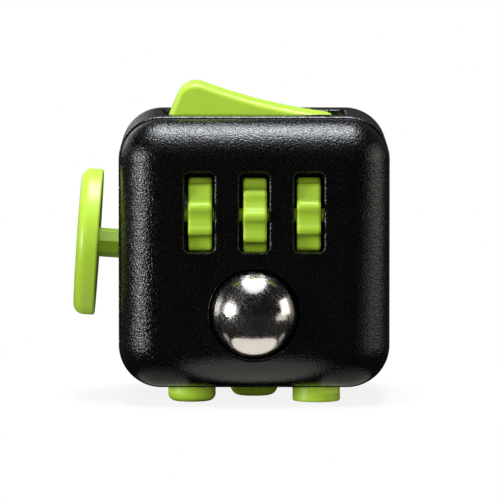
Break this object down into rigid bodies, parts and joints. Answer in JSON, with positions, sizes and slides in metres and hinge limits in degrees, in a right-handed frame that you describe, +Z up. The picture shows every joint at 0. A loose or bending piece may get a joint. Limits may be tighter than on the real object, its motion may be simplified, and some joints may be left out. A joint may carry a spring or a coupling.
{
  "type": "fidget cube",
  "caption": "Palm-sized desk toy cube with rounded edges and finger toys on its faces: thumb gears, rolling ball, joystick, rocker, push buttons, thumb rest and dial.",
  "frame": {"origin": "centre of the tip of the middle button in the bottom face, in the plane the button tips stand on, under the cube's centre", "axes": "+Z up out of the rocker face, -Y out of the gear and ball face, -X out of the joystick face"},
  "size_m": [0.0387, 0.0372, 0.0386],
  "materials": {
    "black_shell": "fine spark-eroded grain, satin",
    "green_plastic": "lime green moulded plastic, semi-gloss",
    "polished_steel": "polished bearing-steel ball with fine handling scratches",
    "black_plastic": "moulded, satin",
    "white_plastic": "natural acetal, satin",
    "spring_steel": "drawn and stamped spring steel",
    "plated_steel": "zinc plated",
    "silicone": "translucent grey silicone"
  },
  "bodies": {
    "casing": {"main_housing": "black_shell", "front_cover": "black_shell", "rear_cover": "black_shell", "gear_retainer": "black_plastic", "gear_retainer_screws": "plated_steel", "gear_click_spring": "spring_steel", "ball_housing": "white_plastic", "ball_housing_screws": "plated_steel", "ball_spring": "spring_steel", "ball_snap_dome": "spring_steel", "joystick_bracket": "black_plastic", "joystick_bracket_screws": "plated_steel", "joystick_spring": "spring_steel", "rocker_cradle": "black_plastic", "rocker_cradle_screws": "plated_steel", "rocker_pin": "plated_steel", "rocker_leaf_spring": "spring_steel", "button_plate": "white_plastic", "button_plate_screws": "plated_steel", "snap_dome_front_left": "spring_steel", "snap_dome_front_right": "spring_steel", "snap_dome_centre": "spring_steel", "silicone_dome_rear_left": "silicone", "silicone_dome_rear_right": "silicone"},
    "gear_left": {"gear_left": "green_plastic"},
    "gear_middle": {"gear_middle": "green_plastic"},
    "gear_right": {"gear_right": "green_plastic"},
    "ball_carrier": {"ball_cup": "white_plastic"},
    "roller_ball": {"roller_ball": "polished_steel"},
    "gimbal": {"joystick_gimbal_ring": "white_plastic"},
    "joystick": {"joystick_stem": "green_plastic", "joystick_cap": "green_plastic"},
    "rocker": {"rocker": "green_plastic"},
    "dial": {"dial": "green_plastic", "dial_spring_washer": "spring_steel", "dial_washer": "plated_steel", "dial_screw": "plated_steel"},
    "button_front_left": {"button_front_left": "green_plastic"},
    "button_front_right": {"button_front_right": "green_plastic"},
    "button_centre": {"button_centre": "green_plastic"},
    "button_rear_left": {"button_rear_left": "green_plastic"},
    "button_rear_right": {"button_rear_right": "green_plastic"}
  },
  "joints": [
    {"name": "gear_left_spin", "type": "hinge", "parent": "casing", "child": "gear_left", "pos_m": [-0.00655, -0.0127, 0.02304], "axis": [1, 0, 0], "continuous": true, "deforming": ["gear_click_spring"]},
    {"name": "gear_middle_spin", "type": "hinge", "parent": "casing", "child": "gear_middle", "pos_m": [0.0001, -0.0127, 0.02304], "axis": [1, 0, 0], "continuous": true, "deforming": ["gear_click_spring"]},
    {"name": "gear_right_spin", "type": "hinge", "parent": "casing", "child": "gear_right", "pos_m": [0.00662, -0.0127, 0.02304], "axis": [1, 0, 0], "continuous": true, "deforming": ["gear_click_spring"]},
    {"name": "ball_click", "type": "slide", "parent": "casing", "child": "ball_carrier", "axis": [0, 1, 0], "range_m": [0, 0.0008], "stiffness_N_per_m": 1500, "deforming": ["ball_spring", "ball_snap_dome"]},
    {"name": "ball_roll", "type": "hinge", "parent": "ball_carrier", "child": "roller_ball", "pos_m": [0, -0.0139, 0.01127], "axis": [1, 0, 0], "continuous": true},
    {"name": "stick_up_down", "type": "hinge", "parent": "casing", "child": "gimbal", "pos_m": [-0.012, 0, 0.0184], "axis": [0, 1, 0], "range_deg": [-13.8, 6.2], "stiffness_Nm_per_rad": 0.024, "deforming": ["joystick_spring"]},
    {"name": "stick_front_back", "type": "hinge", "parent": "gimbal", "child": "joystick", "pos_m": [-0.012, 0, 0.0184], "axis": [0.0663, 0, 0.9978], "range_deg": [-10, 10], "stiffness_Nm_per_rad": 0.024, "deforming": ["joystick_spring"]},
    {"name": "rocker_tip", "type": "hinge", "parent": "casing", "child": "rocker", "pos_m": [0, 0, 0.032], "axis": [0, -1, 0], "range_deg": [0, 28], "deforming": ["rocker_leaf_spring"]},
    {"name": "dial_spin", "type": "hinge", "parent": "casing", "child": "dial", "pos_m": [0, 0.0165, 0.0184], "axis": [0, 1, 0], "continuous": true},
    {"name": "button_front_left_press", "type": "slide", "parent": "casing", "child": "button_front_left", "axis": [0, 0, 1], "range_m": [0, 0.0006], "stiffness_N_per_m": 1500, "springref_m": -0.0002, "deforming": ["snap_dome_front_left"]},
    {"name": "button_front_right_press", "type": "slide", "parent": "casing", "child": "button_front_right", "axis": [0, 0, 1], "range_m": [0, 0.0006], "stiffness_N_per_m": 1500, "springref_m": -0.0002, "deforming": ["snap_dome_front_right"]},
    {"name": "button_centre_press", "type": "slide", "parent": "casing", "child": "button_centre", "axis": [0, 0, 1], "range_m": [0, 0.0006], "stiffness_N_per_m": 1500, "springref_m": -0.0002, "deforming": ["snap_dome_centre"]},
    {"name": "button_rear_left_press", "type": "slide", "parent": "casing", "child": "button_rear_left", "axis": [0, 0, 1], "range_m": [0, 0.0006], "stiffness_N_per_m": 1500, "springref_m": -0.0002, "deforming": ["silicone_dome_rear_left"]},
    {"name": "button_rear_right_press", "type": "slide", "parent": "casing", "child": "button_rear_right", "axis": [0, 0, 1], "range_m": [0, 0.0006], "stiffness_N_per_m": 1500, "springref_m": -0.0002, "deforming": ["silicone_dome_rear_right"]}
  ]
}
